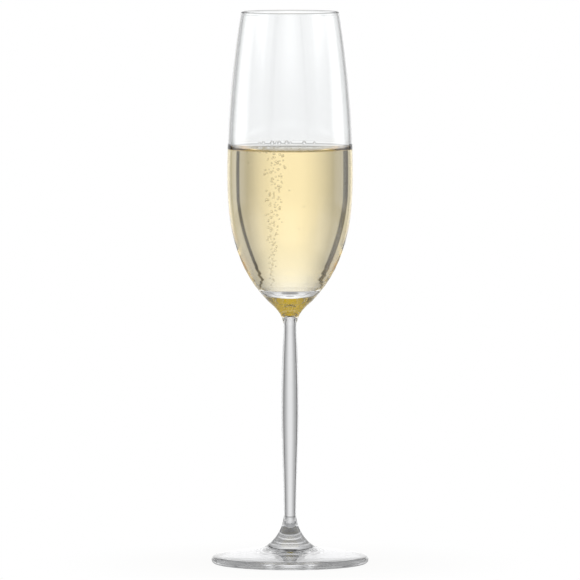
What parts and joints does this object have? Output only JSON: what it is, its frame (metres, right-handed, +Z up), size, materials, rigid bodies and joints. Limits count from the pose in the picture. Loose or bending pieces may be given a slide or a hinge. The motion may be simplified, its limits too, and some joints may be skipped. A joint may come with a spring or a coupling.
{
  "type": "champagne flute",
  "caption": "Tall champagne flute with a tulip bowl, a spindle-shaped stem and a wide disc foot, part filled with sparkling wine.",
  "frame": {"origin": "centre of the plane that the foot rests on", "axes": "+Z up along the glass's axis of revolution, from the foot to the rim; X and Y are arbitrary, but the string of bubbles starts on the -X side"},
  "size_m": [0.072, 0.072, 0.253],
  "materials": {
    "crystal": "clear polished lead-free crystal",
    "champagne": "clear pale gold liquid",
    "gas": "clear gas bubble with a bright rim"
  },
  "bodies": {
    "root": {"bowl": "crystal", "stem": "crystal", "foot": "crystal", "champagne": "champagne", "rising_bubbles": "gas", "surface_bubbles": "gas"}
  },
  "joints": []
}
